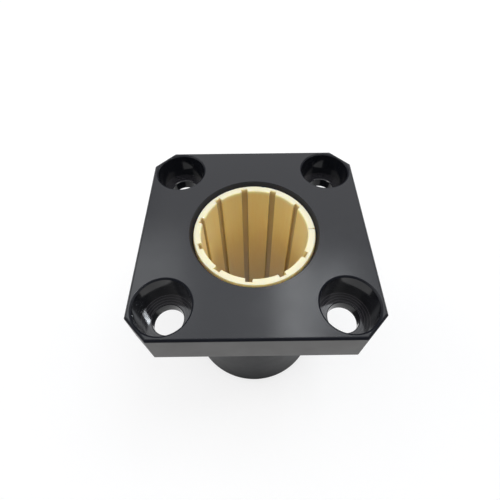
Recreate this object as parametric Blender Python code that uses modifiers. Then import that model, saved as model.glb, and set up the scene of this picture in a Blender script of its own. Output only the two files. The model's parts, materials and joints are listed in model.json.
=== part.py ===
"""Square-flanged linear plain bearing: a machined aluminium housing with a split plastic liner.

Lengths are in metres and +Z is up. The part stands on the end of its barrel, with the shaft's
axis on Z and the origin at the centre of that end. The flange is on top, and its counterbores
open upwards.
"""

import math

import bmesh
import bpy

# Shaft and liner
SHAFT_DIAMETER = 0.020
SHAFT_CLEARANCE = 0.00003
LINER_WALL = 0.0015
LINER_RECESS = 0.0007
LINER_OUTER_EDGE = 0.00015
LINER_INNER_EDGE = 0.0001

# Grooves in the liner's bore, with the slit in the place of one of them
GROOVE_PLACES = 11
GROOVE_WIDTH = 0.0013
GROOVE_DEPTH = 0.00065
SLIT_WIDTH = 0.0002
SLIT_ANGLE = math.radians(2.0)

# Snap ribs round the liner, which click into grooves in the housing
RIB_FROM_END = 0.0035
RIB_WIDTH = 0.0010
RIB_HEIGHT = 0.0003
RIB_CLEARANCE = 0.0001

# Barrel
SEAT_CLEARANCE = 0.0001
BARREL_WALL = 0.00437
OVERALL_LENGTH = 0.045
MOUTH_LEAD = 0.00055
MOUTH_DEPTH = 0.0016
BARREL_END_CHAMFER = 0.0010
BARREL_ROOT_RADIUS = 0.0004

# Flange and its four screw holes
FLANGE_THICKNESS = 0.008
FLANGE_EDGE = 0.0003
SCREW_HOLE_DIAMETER = 0.0055
SCREW_HOLE_EDGE = 0.0002
COUNTERBORE_DIAMETER = 0.0095
COUNTERBORE_EDGE = 0.00035
FLOOR_UNDER_HEAD = 0.0024
HOLE_TO_BARREL = 0.00275
SIDE_LAND = 0.0007
CORNER_LAND = 0.00035

# Facets
TURNED_STEPS = 110
HOLE_STEPS = 40
ROOT_STEPS = 3
PAST_THE_FACE = 0.001

# What follows from the sizes above
LINER_BORE_RADIUS = SHAFT_DIAMETER / 2 + SHAFT_CLEARANCE
LINER_RADIUS = LINER_BORE_RADIUS + LINER_WALL
HOUSING_BORE_RADIUS = LINER_RADIUS + SEAT_CLEARANCE
MOUTH_RADIUS = HOUSING_BORE_RADIUS + MOUTH_LEAD
BARREL_RADIUS = HOUSING_BORE_RADIUS + BARREL_WALL
FLANGE_BACK = OVERALL_LENGTH - FLANGE_THICKNESS
LINER_BOTTOM = LINER_RECESS
LINER_TOP = OVERALL_LENGTH - LINER_RECESS
HOLE_RING_RADIUS = BARREL_RADIUS + HOLE_TO_BARREL + SCREW_HOLE_DIAMETER / 2
HOLE_OFFSET = HOLE_RING_RADIUS / math.sqrt(2)
HOLE_MOUTH_RADIUS = COUNTERBORE_DIAMETER / 2 + COUNTERBORE_EDGE
FLANGE_WIDTH = 2 * (HOLE_OFFSET + HOLE_MOUTH_RADIUS + SIDE_LAND)
CORNER_DISTANCE = HOLE_RING_RADIUS + HOLE_MOUTH_RADIUS + CORNER_LAND
CORNER_CHAMFER = FLANGE_WIDTH - math.sqrt(2) * CORNER_DISTANCE


def clear_scene():
    for obj in list(bpy.data.objects):
        bpy.data.objects.remove(obj, do_unlink=True)


def new_collection(name):
    collection = bpy.data.collections.new(name)
    bpy.context.scene.collection.children.link(collection)
    return collection


def principled(name, color, roughness, metallic):
    material = bpy.data.materials.new(name)
    material.use_nodes = True
    shader = material.node_tree.nodes["Principled BSDF"]
    shader.inputs["Base Color"].default_value = (*color, 1.0)
    shader.inputs["Roughness"].default_value = roughness
    shader.inputs["Metallic"].default_value = metallic
    return material


def anodised_aluminium():
    return principled("black_anodised_aluminium", (0.045, 0.046, 0.052), 0.42, 0.6)


def liner_plastic():
    return principled("cream_bearing_plastic", (0.86, 0.77, 0.50), 0.45, 0.0)


def add_object(name, mesh, collection):
    obj = bpy.data.objects.new(name, mesh)
    collection.objects.link(obj)
    return obj


def mark_as_cutter(obj):
    obj.display_type = "WIRE"
    obj.hide_render = True
    return obj


def turned(name, profile, steps, collection, closed=False):
    """A profile of (radius, height) points turned round Z; it runs down its outer side."""
    mesh = bpy.data.meshes.new(name)
    edges = [(i, i + 1) for i in range(len(profile) - 1)]
    if closed:
        edges.append((len(profile) - 1, 0))
    mesh.from_pydata([(radius, 0.0, height) for radius, height in profile], edges, [])
    obj = add_object(name, mesh, collection)
    screw = obj.modifiers.new("turn", "SCREW")
    screw.axis = "Z"
    screw.angle = math.tau
    screw.steps = steps
    screw.render_steps = steps
    screw.use_merge_vertices = True
    screw.merge_threshold = 0.000001
    return obj


def boolean(obj, operation, other):
    modifier = obj.modifiers.new(operation.lower() + "_" + other.name, "BOOLEAN")
    modifier.operation = operation
    modifier.solver = "EXACT"
    modifier.object = other


def rib_centres():
    return (LINER_TOP - RIB_FROM_END, LINER_BOTTOM + RIB_FROM_END)


def flange_plate(collection):
    """The square plate: its corners are cut off, then its rims are broken by a Bevel."""
    mesh = bpy.data.meshes.new("flanged_housing")
    bm = bmesh.new()
    bmesh.ops.create_cube(bm, size=1.0)
    bmesh.ops.scale(bm, verts=bm.verts, vec=(FLANGE_WIDTH, FLANGE_WIDTH, FLANGE_THICKNESS))
    bmesh.ops.translate(bm, verts=bm.verts, vec=(0.0, 0.0, FLANGE_BACK + FLANGE_THICKNESS / 2))
    upright = [edge for edge in bm.edges if edge.verts[0].co.xy == edge.verts[1].co.xy]
    bmesh.ops.bevel(bm, geom=upright, offset=CORNER_CHAMFER, offset_type="OFFSET", segments=1,
                    affect="EDGES")
    bm.to_mesh(mesh)
    bm.free()
    plate = add_object("flanged_housing", mesh, collection)
    rims = plate.modifiers.new("rims", "BEVEL")
    rims.width = FLANGE_EDGE
    rims.segments = 1
    rims.limit_method = "ANGLE"
    rims.angle_limit = math.radians(60)
    return plate


def barrel(collection):
    """The barrel with its end chamfer and the small radius under the flange."""
    inside_flange = FLANGE_BACK + FLANGE_THICKNESS / 2
    profile = [(0.0, inside_flange), (BARREL_RADIUS + BARREL_ROOT_RADIUS, inside_flange)]
    for i in range(ROOT_STEPS + 1):
        angle = math.pi / 2 * (1 - i / ROOT_STEPS)
        radius = BARREL_RADIUS + BARREL_ROOT_RADIUS * (1 - math.cos(angle))
        height = FLANGE_BACK - BARREL_ROOT_RADIUS * (1 - math.sin(angle))
        profile.append((radius, height))
    profile += [
        (BARREL_RADIUS, BARREL_END_CHAMFER),
        (BARREL_RADIUS - BARREL_END_CHAMFER, 0.0),
        (0.0, 0.0),
    ]
    return mark_as_cutter(turned("barrel", profile, TURNED_STEPS, collection))


def bore_cutter(collection):
    """The bore: a lead-in cone at each mouth and a groove for each snap rib."""
    slope = MOUTH_LEAD / MOUTH_DEPTH
    past_radius = MOUTH_RADIUS + slope * PAST_THE_FACE
    groove_radius = HOUSING_BORE_RADIUS + RIB_HEIGHT
    half_groove = RIB_WIDTH / 2 + RIB_CLEARANCE
    profile = [
        (0.0, OVERALL_LENGTH + PAST_THE_FACE),
        (past_radius, OVERALL_LENGTH + PAST_THE_FACE),
        (HOUSING_BORE_RADIUS, OVERALL_LENGTH - MOUTH_DEPTH),
    ]
    for centre in rib_centres():
        profile += [
            (HOUSING_BORE_RADIUS, centre + half_groove),
            (groove_radius, centre + half_groove),
            (groove_radius, centre - half_groove),
            (HOUSING_BORE_RADIUS, centre - half_groove),
        ]
    profile += [
        (HOUSING_BORE_RADIUS, MOUTH_DEPTH),
        (past_radius, -PAST_THE_FACE),
        (0.0, -PAST_THE_FACE),
    ]
    return mark_as_cutter(turned("bore_cutter", profile, TURNED_STEPS, collection))


def screw_hole_cutter(name, x, y, collection):
    """A screw hole with a counterbore for the head, both its mouths broken at 45 degrees."""
    floor = FLANGE_BACK + FLOOR_UNDER_HEAD
    counterbore_radius = COUNTERBORE_DIAMETER / 2
    hole_radius = SCREW_HOLE_DIAMETER / 2
    profile = [
        (0.0, OVERALL_LENGTH + PAST_THE_FACE),
        (HOLE_MOUTH_RADIUS + PAST_THE_FACE, OVERALL_LENGTH + PAST_THE_FACE),
        (counterbore_radius, OVERALL_LENGTH - COUNTERBORE_EDGE),
        (counterbore_radius, floor),
        (hole_radius, floor),
        (hole_radius, FLANGE_BACK + SCREW_HOLE_EDGE),
        (hole_radius + SCREW_HOLE_EDGE + PAST_THE_FACE, FLANGE_BACK - PAST_THE_FACE),
        (0.0, FLANGE_BACK - PAST_THE_FACE),
    ]
    cutter = turned(name, profile, HOLE_STEPS, collection)
    cutter.location = (x, y, 0.0)
    return mark_as_cutter(cutter)


def flanged_housing(parts, cutters):
    housing = flange_plate(parts)
    boolean(housing, "UNION", barrel(cutters))
    boolean(housing, "DIFFERENCE", bore_cutter(cutters))
    for corner in range(4):
        angle = math.radians(45 + 90 * corner)
        x = HOLE_RING_RADIUS * math.cos(angle)
        y = HOLE_RING_RADIUS * math.sin(angle)
        name = "screw_hole_cutter_" + str(corner + 1)
        boolean(housing, "DIFFERENCE", screw_hole_cutter(name, x, y, cutters))
    housing.data.materials.append(anodised_aluminium())
    return housing


def liner_sleeve(collection):
    """The plain sleeve, turned from a closed section with a snap rib near each end."""
    profile = [
        (LINER_RADIUS - LINER_OUTER_EDGE, LINER_TOP),
        (LINER_RADIUS, LINER_TOP - LINER_OUTER_EDGE),
    ]
    for centre in rib_centres():
        profile += [
            (LINER_RADIUS, centre + RIB_WIDTH / 2),
            (LINER_RADIUS + RIB_HEIGHT, centre + RIB_WIDTH / 2 - RIB_HEIGHT),
            (LINER_RADIUS + RIB_HEIGHT, centre - RIB_WIDTH / 2 + RIB_HEIGHT),
            (LINER_RADIUS, centre - RIB_WIDTH / 2),
        ]
    profile += [
        (LINER_RADIUS, LINER_BOTTOM + LINER_OUTER_EDGE),
        (LINER_RADIUS - LINER_OUTER_EDGE, LINER_BOTTOM),
        (LINER_BORE_RADIUS + LINER_INNER_EDGE, LINER_BOTTOM),
        (LINER_BORE_RADIUS, LINER_BOTTOM + LINER_INNER_EDGE),
        (LINER_BORE_RADIUS, LINER_TOP - LINER_INNER_EDGE),
        (LINER_BORE_RADIUS + LINER_INNER_EDGE, LINER_TOP),
    ]
    return turned("slotted_liner", profile, TURNED_STEPS, collection, closed=True)


def slot_cutter(name, angle, width, reach, collection):
    """A bar along the bore that cuts from the axis's side out to a radius."""
    inner = LINER_BORE_RADIUS - PAST_THE_FACE
    length = LINER_TOP - LINER_BOTTOM + 2 * PAST_THE_FACE
    mesh = bpy.data.meshes.new(name)
    bm = bmesh.new()
    bmesh.ops.create_cube(bm, size=1.0)
    bmesh.ops.scale(bm, verts=bm.verts, vec=(reach - inner, width, length))
    bmesh.ops.translate(bm, verts=bm.verts, vec=((reach + inner) / 2, 0.0, 0.0))
    bm.to_mesh(mesh)
    bm.free()
    cutter = add_object(name, mesh, collection)
    cutter.location = (0.0, 0.0, (LINER_TOP + LINER_BOTTOM) / 2)
    cutter.rotation_euler = (0.0, 0.0, angle)
    return mark_as_cutter(cutter)


def slotted_liner(parts, cutters):
    liner = liner_sleeve(parts)
    through_reach = LINER_RADIUS + RIB_HEIGHT + PAST_THE_FACE
    slit = slot_cutter("slit_cutter", SLIT_ANGLE, SLIT_WIDTH, through_reach, cutters)
    boolean(liner, "DIFFERENCE", slit)
    for place in range(1, GROOVE_PLACES):
        angle = SLIT_ANGLE + math.tau * place / GROOVE_PLACES
        name = "groove_cutter_" + str(place)
        reach = LINER_BORE_RADIUS + GROOVE_DEPTH
        boolean(liner, "DIFFERENCE", slot_cutter(name, angle, GROOVE_WIDTH, reach, cutters))
    liner.data.materials.append(liner_plastic())
    return liner


def shade(obj):
    obj.data.shade_smooth()
    obj.data.set_sharp_from_angle(angle=math.radians(30))


def main():
    clear_scene()
    parts = new_collection("flanged_linear_bearing")
    cutters = new_collection("cutters")
    for piece in (flanged_housing(parts, cutters), slotted_liner(parts, cutters)):
        shade(piece)


main()
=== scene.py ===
# Looks of the square-flanged linear bearing: a fine black anodised housing and a fine slotted
# plastic liner, their materials, the studio light and the camera.
# Lengths are in metres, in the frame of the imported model: the shaft's axis is Z, and the part
# stands on the end of its barrel.

import json
import math
from collections import Counter

import bmesh
import bpy
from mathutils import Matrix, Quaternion, Vector

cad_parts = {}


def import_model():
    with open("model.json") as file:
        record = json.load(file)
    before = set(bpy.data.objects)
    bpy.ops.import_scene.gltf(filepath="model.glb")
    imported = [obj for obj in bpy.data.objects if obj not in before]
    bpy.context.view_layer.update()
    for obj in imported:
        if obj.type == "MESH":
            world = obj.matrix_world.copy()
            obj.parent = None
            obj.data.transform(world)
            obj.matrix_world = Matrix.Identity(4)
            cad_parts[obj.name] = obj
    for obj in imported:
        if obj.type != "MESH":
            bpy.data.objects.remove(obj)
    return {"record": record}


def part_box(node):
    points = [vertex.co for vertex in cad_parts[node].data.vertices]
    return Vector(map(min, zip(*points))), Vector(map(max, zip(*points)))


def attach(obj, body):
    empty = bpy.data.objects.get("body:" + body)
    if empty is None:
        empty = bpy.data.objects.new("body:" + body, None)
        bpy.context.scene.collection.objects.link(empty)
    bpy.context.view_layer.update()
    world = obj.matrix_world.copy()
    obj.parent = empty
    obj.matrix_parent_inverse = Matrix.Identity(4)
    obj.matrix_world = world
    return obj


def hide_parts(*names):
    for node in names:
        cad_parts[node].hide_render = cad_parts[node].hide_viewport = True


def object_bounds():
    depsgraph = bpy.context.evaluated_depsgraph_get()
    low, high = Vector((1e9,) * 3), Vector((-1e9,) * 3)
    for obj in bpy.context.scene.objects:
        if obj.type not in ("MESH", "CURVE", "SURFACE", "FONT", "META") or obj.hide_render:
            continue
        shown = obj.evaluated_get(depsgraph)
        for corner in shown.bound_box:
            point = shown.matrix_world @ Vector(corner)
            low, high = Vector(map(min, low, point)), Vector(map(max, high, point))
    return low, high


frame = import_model()
cad_low, cad_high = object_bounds()

# Sizes that the frame gives
housing_low, housing_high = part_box("flanged_housing")
liner_low, liner_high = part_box("slotted_liner")
mounts = {mount["name"]: mount for mount in frame["record"]["mounts"]}
FLANGE_WIDTH = housing_high.x - housing_low.x
OVERALL_LENGTH = housing_high.z
FLANGE_BACK = mounts["flange_back_face"]["pos_m"][2]
LINER_TOP = liner_high.z
LINER_BOTTOM = liner_low.z

# Housing
BARREL_RADIUS = 0.0160
BARREL_END_CHAMFER = 0.0010
BARREL_ROOT_RADIUS = 0.0004
BORE_RADIUS = 0.01163
MOUTH_RADIUS = 0.01211
MOUTH_DEPTH = 0.0016
CORNER_CHAMFER = 0.00389
FLANGE_EDGE = 0.00036
FLANGE_SOFT = 0.0001
SCREW_HOLE_RADIUS = 0.00275
SCREW_HOLE_EDGE = 0.0002
SCREW_HOLE_RIM = 0.00012
COUNTERBORE_RADIUS = 0.00475
COUNTERBORE_TAPER = 0.00012
COUNTERBORE_EDGE = 0.00028
FLOOR_UNDER_HEAD = 0.0024
HOLE_RING_RADIUS = 0.0215
TOOL_RING_PITCH = 0.0005

# Liner
LINER_BORE_RADIUS = 0.01003
LINER_RADIUS = 0.01153
LINER_LEAD_IN = 0.0002
LINER_LIP_RADIUS = 0.0003
LINER_LEAD_LENGTH = 0.0006
SLIT_ANGLE = math.radians(2.0)
SLIT_WIDTH = 0.00009
SLIT_VEE_WIDTH = 0.00013
SLIT_VEE_DEPTH = 0.0004
SPRING_OUT = 0.00008
SPRING_REACH = math.radians(14.0)
GROOVE_PLACES = 11
GROOVE_WIDTH = 0.0013
GROOVE_DEPTH = 0.00065
GROOVE_EDGE = 0.0001
LAND_STEPS = 12
RIB_FROM_END = 0.0035
RIB_WIDTH = 0.0010
RIB_HEIGHT = 0.0003
RIB_CLEARANCE = 0.0001
GATE_ANGLE = math.radians(80.0)
GATE_DEPTH = 0.0003

# Fineness
SOFT = 0.00005
ARC_STEPS = 4
TURNED_STEPS = 192
HOLE_STEPS = 96
PAST_THE_FACE = 0.001
TINY = 0.0000001
SMOOTH_ANGLE = 40
LEVEL_NORMAL = 0.9999
UPRIGHT_NORMAL = 0.3

# Floor and screen
FLOOR_GAP = 0.00001
FLOOR_HALF_WIDTH = 2.0
# How far the painted shadow that reflections see round the barrel's foot reaches
FOOT_SHADOW_RADIUS = 0.026
SCREEN_RADIUS = 0.30
SCREEN_HEIGHT = 0.22
SCREEN_STEPS = 32

# Two beams for the front left counterbore, which aim a little outside that corner
BEAM_HEIGHT = 0.3
TUBE_DIRECTION = (0.356, 0.110)
TUBE_AIM = (-0.037, -0.022)
TUBE_SPREAD = math.radians(17)
TUBE_TURN = math.radians(20)
GLOW_AIM = (-0.032, -0.024)
GLOW_SPREAD = math.radians(11)

# Grain
GRAIN_HEIGHT = 0.000002
FINE_GRAIN_HEIGHT = 0.0000006
PLASTIC_GRAIN_HEIGHT = 0.000004

# Colours of the housing
BLACK = (0.009, 0.010, 0.013)
WARM_BLACK = (0.015, 0.0135, 0.0105)
DEEP_BLACK = (0.006, 0.007, 0.011)
# Partly painted reflection: the bore's anodise is real, its lighter bluish grey stands in for the
# blue-grey sheen of the mouth cone
BLUE_SHEEN_GREY = (0.017, 0.020, 0.029)
RING_DARK = (0.012, 0.012, 0.015)
# Painted sheen: the pale rings stand in for the glint of the counterbore tool's marks
RING_SHEEN_PALE = (0.040, 0.037, 0.041)

# Colours of the liner
PLASTIC = (0.97, 0.74, 0.32)
GOLD = (0.965, 0.735, 0.31)
PALE_GOLD = (0.98, 0.775, 0.35)
# Painted shade: this darker gold stands in for the shade inside the grooves
GROOVE_SHADE_GOLD = (0.62, 0.49, 0.25)
# Painted glow: a cream that lightens the bore just inside each end of the liner
LIP_GLOW_CREAM = (0.97, 0.88, 0.53)
END_CREAM = (0.85, 0.80, 0.58)

# Colours of the lamps
COOL = (0.95, 0.98, 1.0)
COOLER = (0.9, 0.95, 1.0)
WARM = (1.0, 0.99, 0.97)
WARMER = (1.0, 0.98, 0.95)

# Camera
CAMERA_PLACE = (-0.000922, -0.039156, 0.098312)
CAMERA_TILT = (math.radians(36.785), math.radians(0.346), math.radians(-0.6218))
CAMERA_LENS = 25.547
CAMERA_SENSOR = 36.0
CAMERA_SHIFT = (0.00026, -0.04872)


def fillet(before, corner, after, radius):
    """The short arc of a radius that takes the place of a corner."""
    to_before = (before - corner).normalized()
    to_after = (after - corner).normalized()
    half = to_before.angle(to_after) / 2
    reach = radius / math.tan(half)
    middle = corner + (to_before + to_after).normalized() * radius / math.sin(half)
    start = (corner + to_before * reach - middle).normalized()
    end = (corner + to_after * reach - middle).normalized()
    return [middle + radius * start.slerp(end, step / ARC_STEPS) for step in range(ARC_STEPS + 1)]


def path(corners):
    """Points through corners (x, y, softening). The first and the last corner only guide."""
    points = []
    spots = [Vector(corner[:2]) for corner in corners]
    for place in range(1, len(corners) - 1):
        softening = corners[place][2]
        if softening > 0.0:
            arc = fillet(spots[place - 1], spots[place], spots[place + 1], softening)
        else:
            arc = [spots[place]]
        for point in arc:
            if not points or (point - points[-1]).length > TINY:
                points.append(point)
    return points


def add_object(name, bm, materials):
    mesh = bpy.data.meshes.new(name)
    bm.to_mesh(mesh)
    bm.free()
    for material in materials:
        mesh.materials.append(material)
    obj = bpy.data.objects.new(name, mesh)
    bpy.context.scene.collection.objects.link(obj)
    return obj


def turned(name, profile, steps, material):
    """A closed solid turned round Z, from a profile of (radius, height) that runs down."""
    bm = bmesh.new()
    rings = []
    for radius, height in profile:
        ring = []
        for step in range(steps):
            angle = math.tau * step / steps
            ring.append(bm.verts.new((radius * math.cos(angle), radius * math.sin(angle), height)))
        rings.append(ring)
    for upper, lower in zip(rings, rings[1:]):
        for step in range(steps):
            following = (step + 1) % steps
            bm.faces.new((upper[step], lower[step], lower[following], upper[following]))
    bm.faces.new(rings[0])
    bm.faces.new(reversed(rings[-1]))
    return add_object(name, bm, [material])


def boolean(obj, operation, other):
    modifier = obj.modifiers.new(other.name, "BOOLEAN")
    modifier.operation = operation
    modifier.solver = "EXACT"
    modifier.material_mode = "TRANSFER"
    modifier.object = other


def settled(obj, tools):
    """Puts the result of the modifiers into the object's own mesh and removes the tools."""
    evaluated = obj.evaluated_get(bpy.context.evaluated_depsgraph_get())
    mesh = bpy.data.meshes.new_from_object(evaluated)
    obj.modifiers.clear()
    obj.data = mesh
    for tool in tools:
        bpy.data.objects.remove(tool, do_unlink=True)


def sharpen_level_faces(mesh):
    """Marks where the level faces end, so that they are shaded level right up to their rims."""
    uses = Counter()
    for polygon in mesh.polygons:
        if is_level(polygon):
            uses.update(polygon.edge_keys)
    for edge in mesh.edges:
        if uses[edge.key] == 1:
            edge.use_edge_sharp = True


def smooth(obj, angle):
    """Smooth shading with true flats: sharp above an angle, and led by the large faces."""
    obj.data.shade_smooth()
    obj.data.set_sharp_from_angle(angle=math.radians(angle))
    sharpen_level_faces(obj.data)
    normals = obj.modifiers.new("normals", "WEIGHTED_NORMAL")
    normals.keep_sharp = True


def plate(material):
    """The square flange: its corners are cut off and its rims are broken and softened."""
    thickness = OVERALL_LENGTH - FLANGE_BACK
    bm = bmesh.new()
    bmesh.ops.create_cube(bm, size=1.0)
    bmesh.ops.scale(bm, verts=bm.verts, vec=(FLANGE_WIDTH, FLANGE_WIDTH, thickness))
    bmesh.ops.translate(bm, verts=bm.verts, vec=(0.0, 0.0, FLANGE_BACK + thickness / 2))
    upright = [edge for edge in bm.edges if edge.verts[0].co.xy == edge.verts[1].co.xy]
    bmesh.ops.bevel(bm, geom=upright, offset=CORNER_CHAMFER, offset_type="OFFSET", segments=1,
                    affect="EDGES")
    obj = add_object("housing_fine", bm, [material])
    breaks = (("rims", FLANGE_EDGE, 1, 60), ("soft", FLANGE_SOFT, 3, 20))
    for name, width, segments, angle in breaks:
        bevel = obj.modifiers.new(name, "BEVEL")
        bevel.width = width
        bevel.segments = segments
        bevel.limit_method = "ANGLE"
        bevel.angle_limit = math.radians(angle)
    return obj


def barrel(material):
    """The barrel with its end chamfer and the small radius under the flange."""
    rooted = BARREL_RADIUS + BARREL_ROOT_RADIUS
    points = path([
        (rooted + BARREL_ROOT_RADIUS, FLANGE_BACK, 0.0),
        (BARREL_RADIUS, FLANGE_BACK, BARREL_ROOT_RADIUS),
        (BARREL_RADIUS, BARREL_END_CHAMFER, 2 * SOFT),
        (BARREL_RADIUS - BARREL_END_CHAMFER, 0.0, 2 * SOFT),
        (BORE_RADIUS / 2, 0.0, 0.0),
    ])
    profile = [(rooted, (FLANGE_BACK + OVERALL_LENGTH) / 2)] + points
    return turned("barrel", profile, TURNED_STEPS, material)


def through_profile(corners, top, bottom):
    """A cutter's profile that leaves both faces through the softened corners at its ends."""
    points = path(corners)
    start = (points[0].x, top + PAST_THE_FACE)
    end = (points[-1].x, bottom - PAST_THE_FACE)
    return [start] + points + [end]


def bore(material):
    """The bore: a lead-in cone at each mouth and a groove for each snap rib of the liner."""
    half_groove = RIB_WIDTH / 2 + RIB_CLEARANCE
    groove_radius = BORE_RADIUS + RIB_HEIGHT
    corners = [
        (MOUTH_RADIUS + PAST_THE_FACE, OVERALL_LENGTH, 0.0),
        (MOUTH_RADIUS, OVERALL_LENGTH, SOFT),
        (BORE_RADIUS, OVERALL_LENGTH - MOUTH_DEPTH, SOFT),
    ]
    for centre in (LINER_TOP - RIB_FROM_END, LINER_BOTTOM + RIB_FROM_END):
        corners += [
            (BORE_RADIUS, centre + half_groove, 0.0),
            (groove_radius, centre + half_groove, 0.0),
            (groove_radius, centre - half_groove, 0.0),
            (BORE_RADIUS, centre - half_groove, 0.0),
        ]
    corners += [
        (BORE_RADIUS, MOUTH_DEPTH, SOFT),
        (MOUTH_RADIUS, 0.0, SOFT),
        (MOUTH_RADIUS + PAST_THE_FACE, 0.0, 0.0),
    ]
    profile = through_profile(corners, OVERALL_LENGTH, 0.0)
    return turned("bore", profile, TURNED_STEPS, material)


def screw_hole(name, angle, material):
    """A counterbored screw hole. The counterbore narrows a little toward its floor."""
    floor = FLANGE_BACK + FLOOR_UNDER_HEAD
    wide = COUNTERBORE_RADIUS + COUNTERBORE_TAPER
    corners = [
        (wide + COUNTERBORE_EDGE + PAST_THE_FACE, OVERALL_LENGTH, 0.0),
        (wide + COUNTERBORE_EDGE, OVERALL_LENGTH, 2 * SOFT),
        (wide, OVERALL_LENGTH - COUNTERBORE_EDGE, 2 * SOFT),
        (COUNTERBORE_RADIUS, floor, 0.0),
        (SCREW_HOLE_RADIUS + SCREW_HOLE_RIM, floor, SOFT / 2),
        (SCREW_HOLE_RADIUS, floor - SCREW_HOLE_RIM, SOFT / 2),
        (SCREW_HOLE_RADIUS, FLANGE_BACK + SCREW_HOLE_EDGE, SOFT),
        (SCREW_HOLE_RADIUS + SCREW_HOLE_EDGE, FLANGE_BACK, SOFT),
        (SCREW_HOLE_RADIUS + SCREW_HOLE_EDGE + PAST_THE_FACE, FLANGE_BACK, 0.0),
    ]
    profile = through_profile(corners, OVERALL_LENGTH, FLANGE_BACK)
    hole = turned(name, profile, HOLE_STEPS, material)
    hole.location = (HOLE_RING_RADIUS * math.cos(angle), HOLE_RING_RADIUS * math.sin(angle), 0.0)
    return hole


def assign_share(obj, whole, material, passes):
    """Gives a material of their own to those faces of one finish that pass a test."""
    whole_index = obj.data.materials.find(whole.name)
    obj.data.materials.append(material)
    for polygon in obj.data.polygons:
        if polygon.material_index == whole_index and passes(polygon):
            polygon.material_index = len(obj.data.materials) - 1


def is_level(polygon):
    return abs(polygon.normal.z) > LEVEL_NORMAL


def is_upright(polygon):
    return abs(polygon.normal.z) < UPRIGHT_NORMAL


def is_rim(polygon):
    return polygon.center.z > OVERALL_LENGTH - COUNTERBORE_EDGE - SOFT


def is_slanted(polygon):
    return not is_upright(polygon) and not is_level(polygon)


def housing():
    face_material = anodised("anodised_face", BLACK, 0.165, 1.7)
    side_material = anodised("anodised_side", WARM_BLACK, 0.45, 1.63)
    turned_material = anodised("anodised_turned", BLACK, 0.5, 1.35)
    # The bore's lighter bluish grey is partly a painted reflection
    bored_material = anodised("anodised_bore", BLUE_SHEEN_GREY, 0.5, 1.4)
    hole_material = anodised("anodised_hole", DEEP_BLACK, 0.11, 1.9, FINE_GRAIN_HEIGHT)
    add_tool_rings(hole_material)
    wall_material = anodised("anodised_wall", BLACK, 0.10, 1.29, FINE_GRAIN_HEIGHT)
    rim_material = anodised("anodised_rim", DEEP_BLACK, 0.4, 1.35)
    edge_material = anodised("anodised_edge", DEEP_BLACK, 0.4, 1.35)
    obj = plate(face_material)
    tools = [barrel(turned_material)]
    boolean(obj, "UNION", tools[0])
    tools.append(bore(bored_material))
    for corner in range(4):
        angle = math.radians(45 + 90 * corner)
        tools.append(screw_hole("screw_hole_" + str(corner + 1), angle, hole_material))
    for tool in tools[1:]:
        boolean(obj, "DIFFERENCE", tool)
    settled(obj, tools)
    assign_share(obj, face_material, side_material, is_upright)
    assign_share(obj, face_material, edge_material, is_slanted)
    assign_share(obj, hole_material, rim_material, is_rim)
    assign_share(obj, hole_material, wall_material, is_upright)
    smooth(obj, SMOOTH_ANGLE)
    return obj


def groove_outline():
    """The outline across one groove, as (offset, radius) points from its left."""
    half = GROOVE_WIDTH / 2
    floor = LINER_BORE_RADIUS + GROOVE_DEPTH
    return path([
        (-half - PAST_THE_FACE, LINER_BORE_RADIUS, 0.0),
        (-half, LINER_BORE_RADIUS, GROOVE_EDGE),
        (-half, floor, SOFT),
        (half, floor, SOFT),
        (half, LINER_BORE_RADIUS, GROOVE_EDGE),
        (half + PAST_THE_FACE, LINER_BORE_RADIUS, 0.0),
    ])


def liner_stations():
    """Sections round the liner from slit to slit: angle, offset, bore and outer radius, lead-in."""
    half_slit = SLIT_WIDTH / 2
    pitch = math.tau / GROOVE_PLACES
    clear_angle = (GROOVE_WIDTH / 2 + 2 * GROOVE_EDGE) / LINER_BORE_RADIUS
    vee_radius = LINER_RADIUS - SLIT_VEE_DEPTH
    stations = [
        (SLIT_ANGLE, half_slit, LINER_BORE_RADIUS, vee_radius, LINER_LEAD_IN),
        (SLIT_ANGLE, half_slit + SLIT_VEE_WIDTH, LINER_BORE_RADIUS, LINER_RADIUS, LINER_LEAD_IN),
    ]
    for place in range(GROOVE_PLACES):
        centre = SLIT_ANGLE + pitch * place
        first = centre + clear_angle
        last = centre + pitch - clear_angle
        step_angle = (last - first) / LAND_STEPS
        for step in range(LAND_STEPS + 1):
            angle = first + step_angle * step
            lead_in = GATE_DEPTH if abs(angle - GATE_ANGLE) < step_angle / 2 else LINER_LEAD_IN
            stations.append((angle, 0.0, LINER_BORE_RADIUS, LINER_RADIUS, lead_in))
        if place < GROOVE_PLACES - 1:
            for offset, radius in groove_outline():
                stations.append((centre + pitch, offset, radius, LINER_RADIUS, LINER_LEAD_IN))
    end = SLIT_ANGLE + math.tau
    stations += [
        (end, -half_slit - SLIT_VEE_WIDTH, LINER_BORE_RADIUS, LINER_RADIUS, LINER_LEAD_IN),
        (end, -half_slit, LINER_BORE_RADIUS, vee_radius, LINER_LEAD_IN),
    ]
    return stations


def spring_out(angle):
    """How far the liner's split ends spring out to the housing, at an angle round the axis."""
    from_slit = (angle - SLIT_ANGLE + math.pi) % math.tau - math.pi
    return SPRING_OUT * math.exp(-(from_slit / SPRING_REACH) ** 2)


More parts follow.
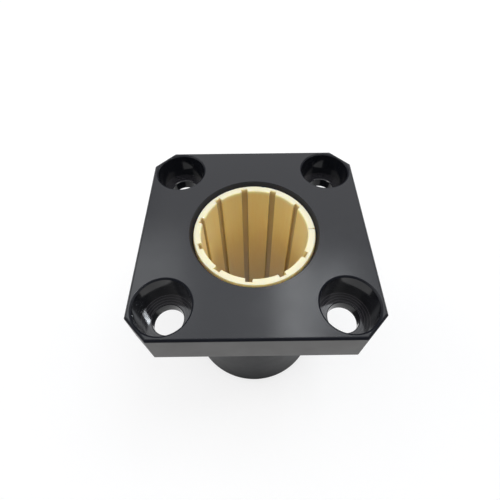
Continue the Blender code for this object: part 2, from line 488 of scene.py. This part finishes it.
def liner_section(bore_radius, outer_radius, lead_in):
    """The closed section of the wall as (radius, height): down the outside, up the bore."""
    corners = [
        (bore_radius, LINER_TOP, LINER_LIP_RADIUS),
        (outer_radius - lead_in, LINER_TOP, SOFT),
        (outer_radius, LINER_TOP - LINER_LEAD_LENGTH, SOFT),
    ]
    for centre in (LINER_TOP - RIB_FROM_END, LINER_BOTTOM + RIB_FROM_END):
        corners += [
            (outer_radius, centre + RIB_WIDTH / 2, 0.0),
            (outer_radius + RIB_HEIGHT, centre + RIB_WIDTH / 2 - RIB_HEIGHT, 0.0),
            (outer_radius + RIB_HEIGHT, centre - RIB_WIDTH / 2 + RIB_HEIGHT, 0.0),
            (outer_radius, centre - RIB_WIDTH / 2, 0.0),
        ]
    corners += [
        (outer_radius, LINER_BOTTOM + LINER_LEAD_LENGTH, SOFT),
        (outer_radius - lead_in, LINER_BOTTOM, SOFT),
        (bore_radius, LINER_BOTTOM, LINER_LIP_RADIUS),
    ]
    return path([corners[-1]] + corners + [corners[0]])


def liner(material):
    """The split sleeve, lofted through its sections and closed at both sides of the slit."""
    bm = bmesh.new()
    loops = []
    for centre, offset, bore_radius, outer_radius, lead_in in liner_stations():
        loop = []
        for radius, height in liner_section(bore_radius, outer_radius, lead_in):
            angle = centre + math.asin(offset / radius)
            sprung = radius + spring_out(angle)
            loop.append(bm.verts.new((sprung * math.cos(angle), sprung * math.sin(angle), height)))
        loops.append(loop)
    for here, there in zip(loops, loops[1:]):
        for place in range(len(here)):
            following = (place + 1) % len(here)
            bm.faces.new((here[place], here[following], there[following], there[place]))
    bm.faces.new(reversed(loops[0]))
    bm.faces.new(loops[-1])
    obj = add_object("liner_fine", bm, [material])
    smooth(obj, SMOOTH_ANGLE)
    return obj


def new_material(name, color, roughness, ior):
    material = bpy.data.materials.new(name)
    material.use_nodes = True
    shader = material.node_tree.nodes["Principled BSDF"]
    shader.inputs["Base Color"].default_value = (*color, 1.0)
    shader.inputs["Roughness"].default_value = roughness
    shader.inputs["IOR"].default_value = ior
    return material, material.node_tree, shader


def add_node(tree, kind, inputs, **settings):
    """A node with its settings, and for each input a value or the socket that feeds it."""
    node = tree.nodes.new(kind)
    for name, value in settings.items():
        setattr(node, name, value)
    for name, value in inputs.items():
        if isinstance(value, bpy.types.NodeSocket):
            tree.links.new(value, node.inputs[name])
        else:
            node.inputs[name].default_value = value
    return node


def millimetres(tree):
    """Object coordinates in millimetres, so that a texture's scale counts features in one."""
    place = add_node(tree, "ShaderNodeTexCoord", {})
    scaled = add_node(tree, "ShaderNodeVectorMath", {0: place.outputs["Object"], "Scale": 1000.0},
                      operation="SCALE")
    return scaled.outputs["Vector"]


def anodised(name, color, roughness, ior, grain_height=GRAIN_HEIGHT):
    """Black anodised aluminium: a dyed oxide layer with a fine grain and faint uneven sheen."""
    material, tree, shader = new_material(name, color, roughness, ior)
    place = millimetres(tree)
    grain = add_node(tree, "ShaderNodeTexNoise", {"Vector": place, "Scale": 9.0, "Detail": 3.0})
    cloud = add_node(tree, "ShaderNodeTexNoise", {"Vector": place, "Scale": 0.35, "Detail": 4.0})
    sheen = add_node(tree, "ShaderNodeMapRange", {
        "Value": cloud.outputs["Fac"], "From Min": 0.3, "From Max": 0.7,
        "To Min": roughness - 0.02, "To Max": roughness + 0.02,
    })
    tree.links.new(sheen.outputs["Result"], shader.inputs["Roughness"])
    bump = add_node(tree, "ShaderNodeBump", {
        "Height": grain.outputs["Fac"], "Strength": 1.0, "Distance": grain_height,
    })
    tree.links.new(bump.outputs["Normal"], shader.inputs["Normal"])
    return material


def math_node(tree, operation, *values):
    return add_node(tree, "ShaderNodeMath", dict(enumerate(values)), operation=operation).outputs[0]


def distance(tree, sideways, lengthways):
    """How far a place is from an axis, from its two offsets square to that axis."""
    squares = [math_node(tree, "MULTIPLY", offset, offset) for offset in (sideways, lengthways)]
    return math_node(tree, "SQRT", math_node(tree, "ADD", *squares))


def ramp(tree, value, start, end, low, high):
    """A value that goes from low at start to high at end, and stays there."""
    return add_node(tree, "ShaderNodeMapRange", {
        "Value": value, "From Min": start, "From Max": end, "To Min": low, "To Max": high,
    }).outputs["Result"]


def mixed_color(tree, share, first, second):
    mix = add_node(tree, "ShaderNodeMix", {"Factor": share}, data_type="RGBA")
    for socket, color in ((mix.inputs[6], first), (mix.inputs[7], second)):
        if isinstance(color, bpy.types.NodeSocket):
            tree.links.new(color, socket)
        else:
            socket.default_value = (*color, 1.0)
    return mix.outputs[2]


def object_parts(tree):
    place = add_node(tree, "ShaderNodeTexCoord", {}).outputs["Object"]
    return add_node(tree, "ShaderNodeSeparateXYZ", {0: place}).outputs


def add_tool_rings(material):
    """Adds faint pale rings of colour round each screw hole, at the pitch of the counterbore tool's
    marks: the marks are real, their paleness is painted sheen.
    """
    tree = material.node_tree
    parts = object_parts(tree)
    offset = HOLE_RING_RADIUS / math.sqrt(2)
    sideways = math_node(tree, "SUBTRACT", math_node(tree, "ABSOLUTE", parts["X"]), offset)
    lengthways = math_node(tree, "SUBTRACT", math_node(tree, "ABSOLUTE", parts["Y"]), offset)
    radius = distance(tree, sideways, lengthways)
    wave = math_node(tree, "SINE", math_node(tree, "MULTIPLY", radius, math.tau / TOOL_RING_PITCH))
    color = mixed_color(tree, ramp(tree, wave, 0.0, 1.0, 0.0, 1.0), RING_DARK, RING_SHEEN_PALE)
    tree.links.new(color, tree.nodes["Principled BSDF"].inputs["Base Color"])


def bearing_plastic():
    """The liner's waxy plastic: golden in the bore, pale on its ends, with painted shade in the
    grooves and a painted glow just inside each end.
    """
    material, tree, shader = new_material("bearing_plastic", PLASTIC, 0.4, 1.55)
    parts = object_parts(tree)
    radius = distance(tree, parts["X"], parts["Y"])
    under_top = math_node(tree, "SUBTRACT", LINER_TOP, parts["Z"])
    over_bottom = math_node(tree, "SUBTRACT", parts["Z"], LINER_BOTTOM)
    depth = math_node(tree, "MINIMUM", under_top, over_bottom)
    over_bore = math_node(tree, "SUBTRACT", radius, LINER_BORE_RADIUS)
    end_face = ramp(tree, depth, 0.00002, 0.00006, 1.0, 0.0)
    inner = ramp(tree, over_bore, GROOVE_DEPTH + 0.0004, GROOVE_DEPTH + 0.0005, 1.0, 0.0)
    # Painted glow: the bore is paler just inside each end, as if light came through the plastic
    lip_glow_share = ramp(tree, over_bore, LINER_LIP_RADIUS, 1.5 * LINER_LIP_RADIUS, 0.9, 0.5)
    near_end = ramp(tree, depth, LINER_LIP_RADIUS, 4 * LINER_LIP_RADIUS, 1.0, 0.0)
    painted_lip_glow = math_node(tree, "MULTIPLY", math_node(tree, "MULTIPLY", lip_glow_share, near_end), inner)
    # Painted shade: the grooves are coloured a darker gold
    groove = math_node(tree, "MULTIPLY", ramp(tree, over_bore, 0.0001, 0.0003, 0.0, 1.0), inner)
    drawn = add_node(tree, "ShaderNodeMapping", {
        "Vector": millimetres(tree), "Scale": (3.0, 3.0, 0.12),
    })
    streaks = add_node(tree, "ShaderNodeTexNoise", {
        "Vector": drawn.outputs["Vector"], "Scale": 1.0, "Detail": 3.0,
    })
    streak = ramp(tree, streaks.outputs["Fac"], 0.3, 0.7, 0.0, 1.0)
    streaked = mixed_color(tree, streak, GOLD, PALE_GOLD)
    groove_shaded = mixed_color(tree, groove, streaked, GROOVE_SHADE_GOLD)
    lip_glow_colour = mixed_color(tree, painted_lip_glow, groove_shaded, LIP_GLOW_CREAM)
    color = mixed_color(tree, end_face, lip_glow_colour, END_CREAM)
    tree.links.new(color, shader.inputs["Base Color"])
    shader.inputs["Sheen Weight"].default_value = 0.18
    shader.inputs["Sheen Roughness"].default_value = 0.4
    shader.inputs["Subsurface Weight"].default_value = 0.7
    shader.inputs["Subsurface Radius"].default_value = (1.0, 0.85, 0.45)
    shader.inputs["Subsurface Scale"].default_value = 0.001
    grain = add_node(tree, "ShaderNodeTexNoise", {
        "Vector": millimetres(tree), "Scale": 5.0, "Detail": 3.0,
    })
    bump = add_node(tree, "ShaderNodeBump", {
        "Height": grain.outputs["Fac"], "Strength": 1.0, "Distance": PLASTIC_GRAIN_HEIGHT,
    })
    tree.links.new(bump.outputs["Normal"], shader.inputs["Normal"])
    return material


def floor_material():
    """Pale floor. The camera and reflections see it near white, with the object's shadow kept, and
    reflections also see a painted shadow round the barrel's foot.
    """
    material = bpy.data.materials.new("pale_floor")
    material.use_nodes = True
    tree = material.node_tree
    tree.nodes.clear()
    rays = add_node(tree, "ShaderNodeLightPath", {})
    camera_ray, glossy_ray, transmission_ray = [
        rays.outputs["Is " + kind + " Ray"] for kind in ("Camera", "Glossy", "Transmission")
    ]
    seen = math_node(tree, "MAXIMUM", camera_ray, glossy_ray)
    seen = math_node(tree, "MAXIMUM", seen, transmission_ray)
    lit = add_node(tree, "ShaderNodeBsdfDiffuse", {"Color": (0.8, 0.79, 0.76, 1.0)})
    faint = add_node(tree, "ShaderNodeBsdfDiffuse", {"Color": (0.34, 0.34, 0.34, 1.0)})
    parts = object_parts(tree)
    # Painted shadow: for reflections only, the glow fades to nothing toward the barrel's foot, less
    # far out at the sides than in front and behind
    radius = distance(tree, math_node(tree, "MULTIPLY", parts["X"], 1.5), parts["Y"])
    outside = ramp(tree, radius, BORE_RADIUS, BARREL_RADIUS, 0.0, 1.0)
    near = ramp(tree, radius, BARREL_RADIUS, FOOT_SHADOW_RADIUS, 1.0, 0.0)
    foot = math_node(tree, "MULTIPLY", outside, near)
    shadow = math_node(tree, "MULTIPLY", foot, glossy_ray)
    strength = ramp(tree, shadow, 0.0, 1.0, 0.68, 0.0)
    glow = add_node(tree, "ShaderNodeEmission", {"Strength": strength})
    shown = add_node(tree, "ShaderNodeAddShader", {0: faint.outputs[0], 1: glow.outputs[0]})
    mixed = add_node(tree, "ShaderNodeMixShader", {
        "Fac": seen, 1: lit.outputs[0], 2: shown.outputs[0],
    })
    output = tree.nodes.new("ShaderNodeOutputMaterial")
    tree.links.new(mixed.outputs[0], output.inputs["Surface"])
    return material


def floor():
    bm = bmesh.new()
    bmesh.ops.create_grid(bm, x_segments=1, y_segments=1, size=FLOOR_HALF_WIDTH)
    obj = add_object("floor", bm, [floor_material()])
    obj.location = (0.0, 0.0, cad_low.z - FLOOR_GAP)
    return obj


def dark_screen():
    """A low dark screen round the front, which draws the flange's front rim as a dark line."""
    bm = bmesh.new()
    columns = []
    for step in range(SCREEN_STEPS + 1):
        angle = math.radians(-170 + 185 * step / SCREEN_STEPS)
        x = SCREEN_RADIUS * math.cos(angle)
        y = SCREEN_RADIUS * math.sin(angle)
        columns.append([bm.verts.new((x, y, z)) for z in (0.0, SCREEN_HEIGHT)])
    for here, there in zip(columns, columns[1:]):
        bm.faces.new((here[0], there[0], there[1], here[1]))
    material, _, _ = new_material("dark_cloth", (0.01, 0.01, 0.01), 0.9, 1.4)
    obj = add_object("dark_screen", bm, [material])
    obj.visible_camera = False
    return obj


def softbox(name, direction, height, size, level, color):
    """A soft panel that faces down, or the flange if it is far to a side. Level 1 is white."""
    target = Vector((0.0, 0.0, OVERALL_LENGTH))
    away = Vector((direction[0], direction[1], 1.0)) * height
    light = bpy.data.lights.new(name, "AREA")
    light.shape = "RECTANGLE"
    light.size, light.size_y = size
    light.energy = level * math.pi * size[0] * size[1]
    light.color = color
    obj = bpy.data.objects.new(name, light)
    obj.location = target + away
    if direction[0] ** 2 > 1.0:
        obj.rotation_euler = away.to_track_quat("Z", "X").to_euler()
    bpy.context.scene.collection.objects.link(obj)
    return obj


def beam(name, direction, size, level, aim, spread, turn):
    """A lamp with a narrow beam that only reflections see. Its level holds on the beam's axis."""
    half = spread / 2
    share = (math.tan(half) - half) / math.tan(half)
    lamp = softbox(name, direction, BEAM_HEIGHT, size, level * share, COOLER)
    lamp.data.spread = spread
    lamp.visible_diffuse = False
    up = Vector((0.0, 0.0, 1.0))
    aimed = up.rotation_difference(lamp.location - Vector((*aim, OVERALL_LENGTH)))
    lamp.rotation_euler = (aimed @ Quaternion(up, turn)).to_euler()


def lights():
    softbox("right_panel", (0.152, 0.10), 0.5, (0.062, 0.50), 1.9, COOL)
    softbox("wide_panel", (0.02, 0.42), 0.6, (0.55, 0.24), 0.32, COOL)
    softbox("faint_panel", (0.31, 0.52), 0.5, (0.10, 0.13), 0.3, COOL)
    softbox("left_panel", (-0.44, 0.54), 0.5, (0.20, 0.18), 0.75, COOL)
    softbox("front_panel", (0.0, -0.45), 0.5, (0.50, 0.25), 1.15, WARM)
    softbox("back_panel", (0.35, 1.25), 0.4, (0.60, 0.45), 0.2, WARM)
    softbox("over_right", (0.95, 0.0), 0.4, (0.20, 0.50), 0.7, WARM)
    softbox("over_left", (-0.95, 0.0), 0.4, (0.20, 0.50), 0.8, WARM)
    fill = softbox("fill", TUBE_DIRECTION, BEAM_HEIGHT, (0.12, 0.12), 4.0, COOLER)
    fill.visible_glossy = False
    beam("tube", TUBE_DIRECTION, (0.011, 0.050), 232.0, TUBE_AIM, TUBE_SPREAD, TUBE_TURN)
    beam("glow", (0.22, 0.42), (0.070, 0.060), 6.0, GLOW_AIM, GLOW_SPREAD, 0.0)
    softbox("right_side", (1.4, 0.0), 0.3, (0.25, 0.6), 1.6, WARMER)
    softbox("left_side", (-1.4, 0.0), 0.3, (0.25, 0.6), 1.7, WARMER)


def world():
    made = bpy.data.worlds.new("studio")
    made.use_nodes = True
    background = made.node_tree.nodes["Background"]
    background.inputs["Color"].default_value = (0.55, 0.555, 0.58, 1.0)
    bpy.context.scene.world = made


def camera():
    data = bpy.data.cameras.new("camera")
    data.lens = CAMERA_LENS
    data.sensor_width = CAMERA_SENSOR
    data.shift_x, data.shift_y = CAMERA_SHIFT
    data.clip_start = 0.005
    obj = bpy.data.objects.new("camera", data)
    obj.location = CAMERA_PLACE
    obj.rotation_euler = CAMERA_TILT
    bpy.context.scene.collection.objects.link(obj)
    bpy.context.scene.camera = obj


bpy.context.scene.view_settings.view_transform = "Standard"
camera()
lights()
world()
floor()
dark_screen()

housing_piece = housing()
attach(housing_piece, "root")
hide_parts("flanged_housing")

liner_piece = liner(bearing_plastic())
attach(liner_piece, "root")
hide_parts("slotted_liner")
